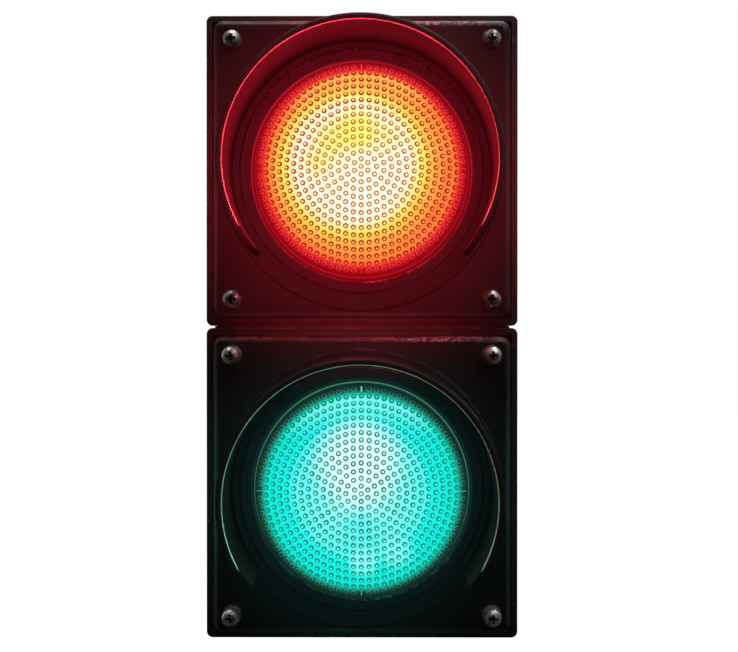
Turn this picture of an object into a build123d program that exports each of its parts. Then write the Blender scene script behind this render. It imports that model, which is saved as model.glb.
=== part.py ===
from build123d import *
import math
import os

# Two-section traffic signal head, red over green, for 100 mm lenses.
#
# Each section is a square moulded housing, open at the front, closed by a tray-shaped cover. The cover
# carries a domed lens in a round hole, and a cut-away visor on a twist-lock collar. Four captive screws
# hold it down on a rubber gasket. Inside, a light engine (LED board and diffuser cup) stands on spacers
# in front of a driver board. A hollow nipple with two nuts joins the sections, so that the upper one can
# be aimed about the hub axis. Plugs close the two outer hubs, and a cable gland enters the lower back.
#
# Frame: millimetres, +Z up, the lenses face -Y. The origin is the centre of the lower section's four
# mounting inserts, on its back face, and the lower lens axis passes through it. "Depth" below means the
# distance in front of that back face, so depth d is y = -d. A section's own parts are modelled in the
# lower section's place. The housing and its screws sit a little higher than the lens axis.

# ---- Driving dimensions ----------------------------------------------------------------------------
section_width = 150.0
section_height = 149.5
section_gap = 1.0
section_pitch = section_height + section_gap
housing_rise = 1.3
top_face = housing_rise + section_height / 2
bottom_face = housing_rise - section_height / 2
housing_depth = 58.0
lens_diameter = 100.0
visor_length = 65.0

# ---- Housing ---------------------------------------------------------------------------------------
wall = 2.8
back_wall = 3.0
housing_corner_r = 3.0
back_edge_r = 3.0
rim_edge_r = 0.6
ledge_depth = 52.0
ledge_thickness = 4.0
ledge_width = 3.2
rim_corner_r = 1.2
cavity_corner_r = 2.0

# ---- Cover and its screws --------------------------------------------------------------------------
cover_gap = 1.15
cover_width = section_width - 2 * (wall + cover_gap)
cover_height = section_height - 2 * (wall + cover_gap)
cover_rise = 9.5
cover_face = housing_depth + cover_rise
cover_plate = 3.0
cover_back = cover_face - cover_plate
cover_skirt = 2.8
cover_corner_r = 5.2
cover_edge_r = 3.0
gasket_thickness = 2.0
skirt_end = ledge_depth + gasket_thickness
screw_offset = 61.9
boss_r = 4.6
boss_gap = 0.3
seat_gap = 0.1
gusset_thickness = 2.4
screw_r = 2.0
screw_boss_clearance = 0.05
screw_cover_clearance = 0.25
screw_length = 25.0
screw_head_r = 4.0
screw_head_height = 3.1
tall_screw_head_height = 10.5
washer_r = 4.8
washer_thickness = 0.8
seat_r = 5.3
seat_sink = 0.6
cross_span = 4.4
cross_width = 0.95
cross_sink = 2.0

# ---- Lens, its seal and its retaining ring ---------------------------------------------------------
opening_r = 52.4
lens_shoulder_r = lens_diameter / 2 - 0.4
lens_shoulder_depth = cover_face + 12.8
lens_foot_r = 51.9
lens_flange_r = 55.5
lens_flange_thickness = 2.0
lens_dome_r = 105.0
lens_wall = 2.2
lens_shoulder_fillet = 1.0
lens_seal_thickness = 1.0
retainer_thickness = 3.0
retainer_inner_r = 50.4
retainer_outer_r = 57.0
retainer_ear_r = 5.0
retainer_screw_circle_r = 60.5
retainer_screw_r = 1.4
retainer_screw_head_r = 2.8
retainer_screw_length = 7.5
retainer_boss_r = 3.2
washer_back = cover_face - seat_sink + seat_gap
screw_seat = washer_back + washer_thickness
lens_flange_front = cover_back - lens_seal_thickness
retainer_front = lens_flange_front - lens_flange_thickness
retainer_back = retainer_front - retainer_thickness

# ---- Visor and its twist lock ----------------------------------------------------------------------
collar_r = 57.8
collar_rise = 3.6
collar_edge_r = 0.8
visor_ring_clearance = 0.3
visor_seat_gap = 0.3
visor_ring_outer_r = 66.6
visor_ring_thickness = 3.0
visor_foot_inner_r = 61.2
visor_tip_inner_r = 60.1
visor_wall = 3.1
visor_half_angle = 129.0
visor_corner_r = 14.0
visor_tip_edge_r = 1.2
lug_count = 4
lug_angle = 8.0
lug_height = 1.3
lug_thickness = 1.6
lug_side_gap = 0.3
twist_angle = 20.0
twist_end_gap_angle = 1.0
visor_seat = cover_face + visor_seat_gap
visor_foot = visor_seat + visor_ring_thickness
visor_tip = cover_face + visor_length

# ---- Light engine and driver -----------------------------------------------------------------------
stack_offset = 28.0
stack_boss_r = 4.0
stack_boss_height = 8.0
board_thickness = 1.6
driver_board_width = 76.0
driver_board_height = 72.0
spacer_across_flats = 6.0
led_board_depth = 40.0
led_board_r = 46.0
led_r = 2.5
led_height = 8.6
led_flange_r = 2.9
led_ring_pitch = 8.0
led_rings = 4
diffuser_r = 47.6
diffuser_wall = 1.4
diffuser_front = 66.0
diffuser_lap = 2.0
driver_board_back = back_wall + stack_boss_height
driver_board_front = driver_board_back + board_thickness
led_board_front = led_board_depth + board_thickness
stack_screw_head_r = 2.8
stack_screw_head_height = 2.0
stack_screw_r = 1.5
stack_screw_length = 8.0

# ---- Hubs, coupling and plugs ----------------------------------------------------------------------
hub_depth = 29.0
hub_pad_r = 21.0
hub_pad_thickness = 6.0
hub_recess_r = 16.4
hub_recess = 2.4
hub_hole_r = 11.0
joint_rim_width = 143.0
joint_rim_depth = 52.0
joint_rim_thickness = 2.4
joint_rim_corner_r = 3.0
joint_rim_gap = 0.1
nipple_r = 10.6
nipple_bore_r = 8.0
hub_nut_across_flats = 30.0
hub_nut_thickness = 6.0
hub_washer_r = 17.5
hub_washer_thickness = 1.2
hub_running_gap = 0.3
spacer_ring_r = 16.0
hub_seal_thickness = 0.9
nipple_overrun = 1.5
plug_head_r = 16.0
plug_sink = 0.1
plug_seal_thickness = 0.5
plug_slot_length = 22.0
plug_slot_width = 3.0
plug_slot_sink = 1.1

# ---- Back face: mounting inserts and cable gland ---------------------------------------------------
insert_offset = 45.0
insert_r = 4.5
insert_bore_r = 2.5
insert_length = 10.0
insert_boss_r = 7.0
insert_boss_end = 13.0
insert_knurl_count = 24
gland_drop = 50.0
gland_thread_r = 7.9
gland_hole_r = 8.2
gland_bore_r = 4.6
gland_flange_across_flats = 22.0
gland_flange_thickness = 4.0
gland_washer_r = 11.5
gland_washer_thickness = 1.0
gland_collar_end = 14.0
gland_inner_end = 11.0
gland_locknut_across_flats = 22.0
gland_locknut_thickness = 4.0
gland_nut_across_flats = 20.0
gland_nut_start = 5.4
gland_nut_end = 20.0
gland_nut_mouth_r = 5.0
gland_socket_r = 6.3
gland_socket_start = 7.0
gland_seal_end = 17.0
gland_seal_bore_r = 3.5
gland_nut_clearance = 0.08

# ---- Cables ----------------------------------------------------------------------------------------
link_cable_r = 2.5
link_cable_gap = 0.4
lead_r = 0.8

CORNERS = [(sx, sz) for sx in (-1, 1) for sz in (-1, 1)]
SCREWS = [(sx * screw_offset, housing_rise + sz * screw_offset) for sx, sz in CORNERS]


# ---- Small helpers ---------------------------------------------------------------------------------
def rod(radius, back, front, x=0.0, z=0.0):
    """Cylinder along the lens axis between two depths."""
    return Pos(x, -(back + front) / 2, z) * Rot(90, 0, 0) * Cylinder(radius, front - back)


def ring(outer, inner, back, front, x=0.0, z=0.0):
    """Tube along the lens axis between two depths."""
    return rod(outer, back, front, x, z) - rod(inner, back - 1, front + 1, x, z)


def slab(width, height, corner, back, front, z=housing_rise):
    """Rounded rectangular prism between two depths, about the housing's centre unless another is given."""
    return Pos(0, -back, z) * extrude(Plane.XZ * RectangleRounded(width, height, corner), front - back)


def block(x0, x1, back, front, z0, z1):
    """Box between two sides, two depths and two heights."""
    centre = Pos((x0 + x1) / 2, -(back + front) / 2, (z0 + z1) / 2)
    return centre * Box(x1 - x0, front - back, z1 - z0)


def hub_rod(radius, bottom, top):
    """Cylinder on the hub axis between two heights."""
    return Pos(0, -hub_depth, (bottom + top) / 2) * Cylinder(radius, top - bottom)


def hub_ring(outer, inner, bottom, top):
    """Tube on the hub axis between two heights."""
    return hub_rod(outer, bottom, top) - hub_rod(inner, bottom - 1, top + 1)


def hub_nut(bottom, top, bore):
    """Hexagonal nut on the hub axis, both ends turned to a cone."""
    corner_r = hub_nut_across_flats / math.sqrt(3)
    turned = hub_rod(corner_r, bottom, top)
    turned = chamfer(turned.edges().filter_by(GeomType.CIRCLE), 1.0, 2.0)
    body = extrude(RegularPolygon(hub_nut_across_flats / 2, 6, major_radius=False), top - bottom)
    return (Pos(0, -hub_depth, bottom) * body & turned) - hub_rod(bore, bottom - 1, top + 1)


def revolved(points):
    """Solid of revolution about the lens axis from (radius, depth) corners."""
    outline = Polyline(*[(r, -d) for r, d in points], close=True)
    return revolve(make_face(outline), axis=Axis.Y)


def hexagon_rod(across_flats, back, front, x=0.0, z=0.0):
    """Hexagonal prism along the lens axis between two depths."""
    face = Plane.XZ * RegularPolygon(across_flats / 2, 6, major_radius=False)
    return Pos(x, -back, z) * extrude(face, front - back)


def sector(radius, back, front, start, end):
    """Wedge about the lens axis between two depths; angles run from +X towards +Z."""
    arc = CenterArc((0, 0), radius, start, end - start)
    outline = filled(Line((0, 0), arc @ 0), arc, Line(arc @ 1, (0, 0)))
    return Pos(0, -back, 0) * extrude(Plane.XZ * outline, front - back)


def filled(*curves):
    """Flat face inside a closed chain of curves."""
    return make_face([edge for curve in curves for edge in curve.edges()])


def group(solids):
    """Separate solids that share one node."""
    return Compound(children=[s.solid() for s in solids])


def cable(points, radius):
    """Round cable along straight runs joined by tangent arcs, each as large as its two runs allow."""
    corners = [Vector(*p) for p in points]
    radii = []
    for before, corner, after in zip(corners, corners[1:], corners[2:]):
        turn = math.radians((corner - before).get_angle(after - corner))
        shorter = min((corner - before).length, (after - corner).length)
        radii.append(0.45 * shorter / math.tan(turn / 2))
    path = FilletPolyline(*points, radius=radii)
    print("cable length", round(path.length, 1), "bend radii", [round(r, 1) for r in radii])
    start = Plane(origin=path @ 0, z_dir=path % 0)
    return sweep(start * Circle(radius), path=path)


def pan_head(seat, head_r, head_height, shank_r, shank_length):
    """Pan head screw on the lens axis, its head in front of the seat depth, its shank behind."""
    crown = min(0.55 * head_height, 1.7)
    profile = [(0, seat), (head_r, seat), (head_r, seat + head_height - crown)]
    edge = Polyline(*[(r, -d) for r, d in profile])
    dome = ThreePointArc(
        (head_r, -(seat + head_height - crown)),
        (head_r * 0.72, -(seat + head_height - crown * 0.32)),
        (0, -(seat + head_height)),
    )
    axis_line = Line((0, -(seat + head_height)), (0, -seat))
    head = revolve(filled(edge, dome, axis_line), axis=Axis.Y)
    tip = 0.4 * shank_r
    shank = rod(shank_r, seat - shank_length + tip, seat)
    point = Pos(0, -(seat - shank_length + tip), 0) * Rot(-90, 0, 0) * Cone(
        shank_r, shank_r - tip, tip, align=(Align.CENTER, Align.CENTER, Align.MIN))
    return head + shank + point


def cross_recess(top, span, width, sink):
    """Cross-shaped driver recess, sunk below the top of a head on the lens axis."""
    bar = block(-span / 2, span / 2, top - sink, top + 1, -width / 2, width / 2)
    return bar + Rot(0, 90, 0) * bar


# ---- Section parts ---------------------------------------------------------------------------------
def joint_rim():
    """Raised rim on the lower housing's top face, which closes the joint below the upper section."""
    outline = RectangleRounded(joint_rim_width, joint_rim_depth, joint_rim_corner_r)
    inside = RectangleRounded(joint_rim_width - 2 * joint_rim_thickness,
                              joint_rim_depth - 2 * joint_rim_thickness, 1)
    rim = extrude(outline - inside, 0.4 + section_gap - joint_rim_gap)
    return Pos(0, -hub_depth, top_face - 0.4) * rim


def housing(lower):
    """Square moulded box, open at the front, with its rim, gasket ledge, hubs and bosses."""
    body = slab(section_width, section_height, housing_corner_r, 0, housing_depth)
    body = fillet(body.faces().sort_by(Axis.Y)[-1].edges(), back_edge_r)
    body = fillet(body.faces().sort_by(Axis.Y)[0].outer_wire().edges(), rim_edge_r)
    inner_w, inner_h = section_width - 2 * wall, section_height - 2 * wall
    body -= slab(inner_w, inner_h, rim_corner_r, ledge_depth, housing_depth + 1)
    body -= slab(inner_w - 2 * ledge_width, inner_h - 2 * ledge_width, housing_corner_r,
                 ledge_depth - ledge_thickness - 1, ledge_depth + 1)
    body -= slab(inner_w, inner_h, cavity_corner_r, back_wall, ledge_depth - ledge_thickness)

    edge = section_width / 2 - wall / 2
    ends = {-1: bottom_face + wall / 2, 1: top_face - wall / 2}
    half = gusset_thickness / 2
    gusset_end = ledge_depth - ledge_thickness - 2
    for (sx, sz), (x, z) in zip(CORNERS, SCREWS):
        body += rod(boss_r, back_wall - 0.5, skirt_end, x, z)
        body += block(*sorted((x, sx * edge)), back_wall - 0.5, gusset_end, z - half, z + half)
        body += block(x - half, x + half, back_wall - 0.5, gusset_end, *sorted((z, ends[sz])))
        body += rod(stack_boss_r, back_wall - 0.5, driver_board_back, sx * stack_offset, sz * stack_offset)
        body += rod(insert_boss_r, back_wall - 0.5, insert_boss_end, sx * insert_offset, sz * insert_offset)
    for (sx, sz), (x, z) in zip(CORNERS, SCREWS):
        body -= rod(screw_r + screw_boss_clearance, screw_seat - screw_length - 2, skirt_end + 1, x, z)
        body -= rod(stack_screw_r, back_wall, driver_board_back + 1, sx * stack_offset, sz * stack_offset)
        body -= rod(insert_r, -1, insert_length, sx * insert_offset, sz * insert_offset)

    for side, outer in ((-1, bottom_face), (1, top_face)):
        inner = outer - side * hub_pad_thickness
        floor = outer - side * hub_recess
        body += hub_rod(hub_pad_r, *sorted((inner, outer - side * 0.5)))
        body -= hub_rod(hub_recess_r, *sorted((floor, outer + side)))
        body -= hub_rod(hub_hole_r, *sorted((inner - side, outer + side)))
    if lower:
        body -= rod(gland_hole_r, -1, back_wall + 1, 0, -gland_drop)
        body += joint_rim()
    return body


def cover_gasket():
    """Square rubber ring between the housing's ledge and the cover's skirt."""
    frame = slab(cover_width, cover_height, cover_corner_r, ledge_depth, skirt_end)
    hole = slab(cover_width - 2 * cover_skirt, cover_height - 2 * cover_skirt,
                cover_corner_r - cover_skirt, ledge_depth - 1, skirt_end + 1)
    return frame - hole


def bayonet_grooves():
    """L-shaped grooves round the collar: an entry slot open to the front, and a channel along the collar."""
    floor_r = collar_r - lug_height - 0.3
    back, front = visor_seat + lug_side_gap - 0.5, visor_seat + lug_side_gap + lug_thickness + 0.3
    half = lug_angle / 2 + twist_end_gap_angle
    grooves = []
    for i in range(lug_count):
        rest = i * 360 / lug_count
        channel = sector(collar_r + 2, back, front, rest - half, rest + twist_angle + half)
        entry = sector(collar_r + 2, back, cover_face + collar_rise + 1,
                       rest + twist_angle - half, rest + twist_angle + half)
        grooves.append((channel + entry) - rod(floor_r, back - 1, cover_face + collar_rise + 2))
    return grooves


def cover():
    """Tray-shaped front cover with the lens opening, twist-lock collar, screw seats and pillars."""
    body = slab(cover_width, cover_height, cover_corner_r, skirt_end + seat_gap, cover_face)
    body = fillet(body.faces().sort_by(Axis.Y)[0].edges(), cover_edge_r)
    body -= slab(cover_width - 2 * cover_skirt, cover_height - 2 * cover_skirt,
                 cover_corner_r - cover_skirt, skirt_end - 1, cover_back)
    collar = rod(collar_r, cover_back, cover_face + collar_rise)
    collar = collar - rod(opening_r, cover_back - 1, cover_face + collar_rise + 1)
    collar = fillet(collar.faces().sort_by(Axis.Y)[0].edges(), collar_edge_r)
    body = body - rod(opening_r, cover_back - 1, cover_face + 1) + collar
    for groove in bayonet_grooves():
        body -= groove
    pillar_end = skirt_end + boss_gap
    for (sx, sz), (x, z) in zip(CORNERS, SCREWS):
        body += rod(boss_r, pillar_end, cover_back + 0.5, x, z)
        body -= rod(screw_r + screw_cover_clearance, pillar_end - 1, cover_face + 1, x, z)
        body -= rod(seat_r, cover_face - seat_sink, cover_face + 1, x, z)
        ear = retainer_screw_circle_r / math.sqrt(2)
        body += rod(retainer_boss_r, retainer_front, cover_back + 0.5, sx * ear, sz * ear)
        body -= rod(retainer_screw_r, retainer_front - 1, retainer_front + retainer_screw_length - 2.5,
                    sx * ear, sz * ear)
    return body


def lens():
    """Domed lens with a conical side wall and a flange that is clamped behind the opening."""
    def dome_depth(radius, sphere_r, edge_r, edge_depth):
        return edge_depth + math.sqrt(sphere_r**2 - radius**2) - math.sqrt(sphere_r**2 - edge_r**2)

    inner_r, inner_depth = lens_shoulder_r - lens_wall, lens_shoulder_depth - lens_wall
    inner_sphere = lens_dome_r - lens_wall
    apex = dome_depth(0, lens_dome_r, lens_shoulder_r, lens_shoulder_depth)
    inner_apex = dome_depth(0, inner_sphere, inner_r, inner_depth)
    mid = lens_shoulder_r / 2
    outer_dome = ThreePointArc(
        (lens_shoulder_r, -lens_shoulder_depth),
        (mid, -dome_depth(mid, lens_dome_r, lens_shoulder_r, lens_shoulder_depth)),
        (0, -apex),
    )
    inner_dome = ThreePointArc(
        (0, -inner_apex),
        (mid, -dome_depth(mid, inner_sphere, inner_r, inner_depth)),
        (inner_r, -inner_depth),
    )
    crown = Line((0, -apex), (0, -inner_apex))
    sides = Polyline(
        (inner_r, -inner_depth),
        (lens_foot_r - lens_wall, -retainer_front),
        (lens_flange_r, -retainer_front),
        (lens_flange_r, -lens_flange_front),
        (lens_foot_r, -lens_flange_front),
        (lens_shoulder_r, -lens_shoulder_depth),
    )
    body = revolve(filled(outer_dome, crown, inner_dome, sides), axis=Axis.Y)
    shoulder = [e for e in body.edges().filter_by(GeomType.CIRCLE)
                if abs(e.radius - lens_shoulder_r) < 0.01]
    return fillet(shoulder, lens_shoulder_fillet)


def lens_seal():
    """Flat rubber ring between the lens flange and the cover."""
    return ring(lens_flange_r, opening_r + 0.2, lens_flange_front, cover_back)


def lens_retainer():
    """Ring with four ears that clamps the lens flange."""
    body = rod(retainer_outer_r, retainer_back, retainer_front)
    ear = retainer_screw_circle_r / math.sqrt(2)
    for sx, sz in CORNERS:
        body += rod(retainer_ear_r, retainer_back, retainer_front, sx * ear, sz * ear)
    body -= rod(retainer_inner_r, retainer_back - 1, retainer_front + 1)
    for sx, sz in CORNERS:
        body -= rod(retainer_screw_r + 0.2, retainer_back - 1, retainer_front + 1, sx * ear, sz * ear)
    return body


def retainer_screws():
    """Four small screws that enter the cover from behind."""
    seat = retainer_back
    head_height = 1.8
    screw = pan_head(-seat, retainer_screw_head_r, head_height, retainer_screw_r, retainer_screw_length)
    screw -= cross_recess(-seat + head_height, 3.0, 0.7, 1.1)
    screw = mirror(screw, about=Plane.XZ)
    ear = retainer_screw_circle_r / math.sqrt(2)
    return group([Pos(sx * ear, 0, sz * ear) * screw for sx, sz in CORNERS])


def visor():
    """Cut-away visor: a mounting ring with four lugs, and a tapered hood open at the bottom."""
    hood = revolved([
        (visor_foot_inner_r, visor_foot - 0.5),
        (visor_foot_inner_r + visor_wall, visor_foot - 0.5),
        (visor_tip_inner_r + visor_wall, visor_tip),
        (visor_tip_inner_r, visor_tip),
    ])
    hood -= sector(2 * visor_ring_outer_r, visor_foot - 1, visor_tip + 1,
                   90 + visor_half_angle, 450 - visor_half_angle)
    corners = [e for e in hood.edges().filter_by(GeomType.LINE)
               if abs(e.center().Y + visor_tip) < 0.01 and e.length < 2 * visor_wall]
    hood = fillet(corners, visor_corner_r)
    rim = [e for e in hood.edges().filter_by(GeomType.CIRCLE)
           if abs(e.center().Y + visor_tip) < 0.01 and e.radius > visor_tip_inner_r - 0.1]
    hood = fillet(rim, visor_tip_edge_r)
    base = ring(visor_ring_outer_r, collar_r + visor_ring_clearance, visor_seat, visor_foot)
    base = fillet(base.faces().sort_by(Axis.Y)[0].outer_wire().edges(), 1.0)
    body = base + hood
    lug_back = visor_seat + lug_side_gap
    for i in range(lug_count):
        rest = i * 360 / lug_count
        lug = sector(collar_r + visor_ring_clearance + 0.5, lug_back, lug_back + lug_thickness - 0.3,
                     rest - lug_angle / 2, rest + lug_angle / 2)
        body += lug - rod(collar_r - lug_height, lug_back - 1, lug_back + lug_thickness + 1)
    return body


def cover_screws(head_height):
    """Four captive M4 screws with round heads and cross recesses."""
    screw = pan_head(screw_seat, screw_head_r, head_height, screw_r, screw_length)
    screw -= cross_recess(screw_seat + head_height, cross_span, cross_width, cross_sink)
    return group([Pos(x, 0, z) * screw for x, z in SCREWS])


def cover_washers():
    """Four flat washers under the cover screws."""
    back = washer_back
    return group([ring(washer_r, screw_r + 0.1, back, back + washer_thickness, x, z) for x, z in SCREWS])


def driver_board():
    """Rectangular circuit board of the driver."""
    body = slab(driver_board_width, driver_board_height, 3.0, driver_board_back, driver_board_front, 0)
    for sx, sz in CORNERS:
        body -= rod(stack_screw_r + 0.1, driver_board_back - 1, driver_board_front + 1,
                    sx * stack_offset, sz * stack_offset)
    return body


def board_spacers():
    """Four hexagonal spacers with studs, between the driver board and the LED board."""
    solids = []
    for sx, sz in CORNERS:
        x, z = sx * stack_offset, sz * stack_offset
        spacer = hexagon_rod(spacer_across_flats, driver_board_front, led_board_depth, x, z)
        spacer += rod(stack_screw_r - 0.05, back_wall + 1.5, driver_board_front + 0.5, x, z)
        spacer -= rod(stack_screw_r, led_board_depth - stack_screw_length, led_board_depth + 1, x, z)
        solids.append(spacer)
    return group(solids)


def board_screws():
    """Four screws that hold the LED board on its spacers."""
    screw = pan_head(led_board_front, stack_screw_head_r, stack_screw_head_height, stack_screw_r - 0.05,
                     stack_screw_length)
    screw -= cross_recess(led_board_front + stack_screw_head_height, 3.0, 0.7, 1.2)
    return group([Pos(sx * stack_offset, 0, sz * stack_offset) * screw for sx, sz in CORNERS])


def led_board():
    """Round circuit board that carries the LEDs."""
    body = rod(led_board_r, led_board_depth, led_board_front)
    for sx, sz in CORNERS:
        body -= rod(stack_screw_r + 0.1, led_board_depth - 1, led_board_front + 1,
                    sx * stack_offset, sz * stack_offset)
    return body


def leds():
    """Round LEDs in rings of six, twelve, eighteen and twenty-four about one in the middle."""
    straight = led_height - led_r
    one = rod(led_r, led_board_front, led_board_front + straight)
    one += Pos(0, -(led_board_front + straight), 0) * Sphere(led_r)
    one += rod(led_flange_r, led_board_front, led_board_front + 1.0)
    places = [(0.0, 0.0)]
    for n in range(1, led_rings + 1):
        for k in range(6 * n):
            angle = math.radians(k * 60 / n)
            places.append((n * led_ring_pitch * math.cos(angle), n * led_ring_pitch * math.sin(angle)))
    return group([Pos(x, 0, z) * one for x, z in places])


def diffuser():
    """Cup that snaps over the LED board and spreads its light."""
    cup = rod(diffuser_r, led_board_depth - diffuser_lap, diffuser_front)
    cup = fillet(cup.faces().sort_by(Axis.Y)[0].edges(), 2.0)
    hollow = rod(led_board_r + 0.1, led_board_depth - diffuser_lap - 1, diffuser_front - diffuser_wall)
    return cup - hollow


def driver_components():
    """Driver components: transformer core and bobbin, two round and one boxed capacitor, and a fuse."""
    base = driver_board_front
    core = block(-14, 10, base, base + 18, 1, 19) - block(-9, 5, base + 4, base + 14, 0, 20)
    winding = fillet(block(-9, 5, base + 4, base + 14, -1, 21).edges().filter_by(Axis.Z), 3.0)
    tall_can = fillet(rod(6.3, base, base + 20, 22, 8).faces().sort_by(Axis.Y)[0].edges(), 0.8)
    short_can = fillet(rod(5.0, base, base + 16, 22, -8).faces().sort_by(Axis.Y)[0].edges(), 0.8)
    film = fillet(block(-32, -22, base, base + 14, -12, 6).edges(), 0.8)
    fuse_z, fuse_y = -12.0, -(base + 5)
    glass = Pos(-3, fuse_y, fuse_z) * Rot(0, 90, 0) * Cylinder(2.4, 12)
    clips = []
    for x in (-12, 6):
        clip = Pos(x, fuse_y, fuse_z) * Rot(0, 90, 0) * Cylinder(2.6, 6)
        clips.append(clip + block(x - 2, x + 2, base, -fuse_y, fuse_z - 1.5, fuse_z + 1.5))
    return group([core, winding, tall_can, short_can, film, glass, *clips])


def terminal_block():
    """Three-way screw terminal at the lower edge of the driver board."""
    base, height, z0, z1 = driver_board_front, 12.0, -34.0, -24.0
    body = block(-15, 15, base, base + height, z0, z1)
    for x in (-10, 0, 10):
        body -= rod(2.6, base + height - 4, base + height + 1, x, z0 + 6)
        body -= block(x - 2.5, x + 2.5, base + 2, base + 7, z0 - 1, z0 + 6)
    return body


def terminal_screws():
    """Clamping screws of the terminal block."""
    base, height, z0 = driver_board_front, 12.0, -34.0
    solids = []
    for x in (-10, 0, 10):
        screw = rod(2.3, base + height - 4, base + height - 2, x, z0 + 6)
        screw -= block(x - 3, x + 3, base + height - 2.8, base + height, z0 + 5.6, z0 + 6.4)
        solids.append(screw)
    return group(solids)


def led_leads():
    """Two leads from the driver board to the back of the LED board."""
    y0, y1 = -driver_board_front, -led_board_depth
    return group([cable([(x, y0, 32), (x, y0 - 9, 32), (x, y1 + 9, 38), (x, y1, 38)], lead_r)
                  for x in (-4, 4)])


def mounting_inserts():
    """Four knurled brass inserts with M6 threads, flush with the back face."""
    one = ring(insert_r, insert_bore_r, 0, insert_length)
    knurl = rod(0.35, 1.5, insert_length - 1.5, insert_r, 0)
    for i in range(insert_knurl_count):
        one -= Rot(0, i * 360 / insert_knurl_count, 0) * knurl
    return group([Pos(sx * insert_offset, 0, sz * insert_offset) * one for sx, sz in CORNERS])


# ---- Hub parts -------------------------------------------------------------------------------------
joint_plane = top_face + section_gap / 2
lower_hub_inside = top_face - hub_pad_thickness
upper_hub_inside = top_face + section_gap + hub_pad_thickness
recess_bottom = top_face - hub_recess
recess_top = top_face + section_gap + hub_recess
bottom_hub_inside = bottom_face + hub_pad_thickness


def coupling_nipple():
    """Hollow threaded tube that joins the two sections and passes their cable."""
    reach = hub_running_gap + hub_washer_thickness + hub_nut_thickness + nipple_overrun
    return hub_ring(nipple_r, nipple_bore_r, lower_hub_inside - reach, upper_hub_inside + reach)


def coupling_washers():
    """Flat washers under the two coupling nuts."""
    lower_top = lower_hub_inside
    upper_bottom = upper_hub_inside + hub_running_gap
    return group([
        hub_ring(hub_washer_r, nipple_r + 0.1, lower_top - hub_washer_thickness, lower_top),
        hub_ring(hub_washer_r, nipple_r + 0.1, upper_bottom, upper_bottom + hub_washer_thickness),
    ])


def coupling_nuts():
    """Hexagonal nuts that clamp the two sections together."""
    lower_top = lower_hub_inside - hub_washer_thickness
    upper_bottom = upper_hub_inside + hub_running_gap + hub_washer_thickness
    return group([
        hub_nut(lower_top - hub_nut_thickness, lower_top, nipple_r),
        hub_nut(upper_bottom, upper_bottom + hub_nut_thickness, nipple_r),
    ])


def coupling_spacer():
    """Ring in the two facing recesses, which sets the gap and bears the upper section."""
    bottom = recess_bottom + hub_seal_thickness
    top = recess_top - hub_running_gap - hub_seal_thickness
    return hub_ring(spacer_ring_r, nipple_r + 0.1, bottom, top)


def coupling_seals():
    """Flat rubber rings below and above the spacer."""
    top = recess_top - hub_running_gap
    return group([
        hub_ring(spacer_ring_r, nipple_r + 0.1, recess_bottom, recess_bottom + hub_seal_thickness),
        hub_ring(spacer_ring_r, nipple_r + 0.1, top - hub_seal_thickness, top),
    ])


def hub_plug():
    """Closing plug in the lower section's bottom hub, its slotted head flush with the face."""
    face = bottom_face + plug_sink
    seat = bottom_face + hub_recess - plug_seal_thickness
    body = hub_rod(plug_head_r, face, seat)
    body = fillet(body.faces().sort_by(Axis.Z)[0].edges(), 0.5)
    body += hub_rod(nipple_r, seat - 0.5, bottom_hub_inside + hub_nut_thickness + nipple_overrun)
    slot = Pos(0, -hub_depth, face) * Box(plug_slot_length, plug_slot_width, 2 * plug_slot_sink)
    return body - slot - hub_rod(nipple_bore_r, seat + 1.5, top_face)


def hub_plug_seal():
    """Flat rubber ring under the plug's head."""
    floor = bottom_face + hub_recess
    return hub_ring(plug_head_r, nipple_r + 0.1, floor - plug_seal_thickness, floor)


def hub_plug_nut():
    """Hexagonal nut that holds the plug from inside."""
    return hub_nut(bottom_hub_inside, bottom_hub_inside + hub_nut_thickness, nipple_r)


# ---- Cable gland -----------------------------------------------------------------------------------
def gland_washer():
    """Rubber sealing washer between the gland and the back face."""
    return ring(gland_washer_r, gland_thread_r + 0.1, -gland_washer_thickness, 0, 0, -gland_drop)


def gland_body():
    """Gland body: hexagonal flange, inner thread through the wall, and outer thread with a socket."""
    flange_end = gland_washer_thickness + gland_flange_thickness
    body = hexagon_rod(gland_flange_across_flats, -flange_end, -gland_washer_thickness, 0, -gland_drop)
    body += rod(gland_thread_r, -flange_end + 0.5, gland_inner_end, 0, -gland_drop)
    body += rod(gland_thread_r, -gland_collar_end, -flange_end + 0.5, 0, -gland_drop)
    body -= rod(gland_bore_r, -gland_collar_end - 1, gland_inner_end + 1, 0, -gland_drop)
    body -= rod(gland_socket_r, -gland_collar_end - 1, -gland_socket_start, 0, -gland_drop)
    return body


def gland_locknut():
    """Locknut inside the housing."""
    body = hexagon_rod(gland_locknut_across_flats, back_wall, back_wall + gland_locknut_thickness, 0, -gland_drop)
    return body - rod(gland_thread_r, back_wall - 1, back_wall + gland_locknut_thickness + 1, 0, -gland_drop)


def gland_seal():
    """Rubber insert that grips the cable."""
    body = ring(gland_socket_r, gland_seal_bore_r, -gland_collar_end, -gland_socket_start, 0, -gland_drop)
    return body + ring(gland_socket_r, gland_seal_bore_r, -gland_seal_end, -gland_collar_end + 0.5, 0, -gland_drop)


def gland_nut():
    """Domed sealing nut that squeezes the insert."""
    start, end = -gland_nut_end, -gland_nut_start
    body = hexagon_rod(gland_nut_across_flats, start + 5, end, 0, -gland_drop)
    dome = rod(gland_nut_across_flats / 2, start, start + 5, 0, -gland_drop)
    dome = fillet(dome.faces().sort_by(Axis.Y)[-1].edges(), 3.0)
    body = body + dome
    body -= rod(gland_thread_r + gland_nut_clearance, -gland_seal_end - 0.3, end + 1, 0, -gland_drop)
    return body - rod(gland_nut_mouth_r, start - 1, end, 0, -gland_drop)


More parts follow.
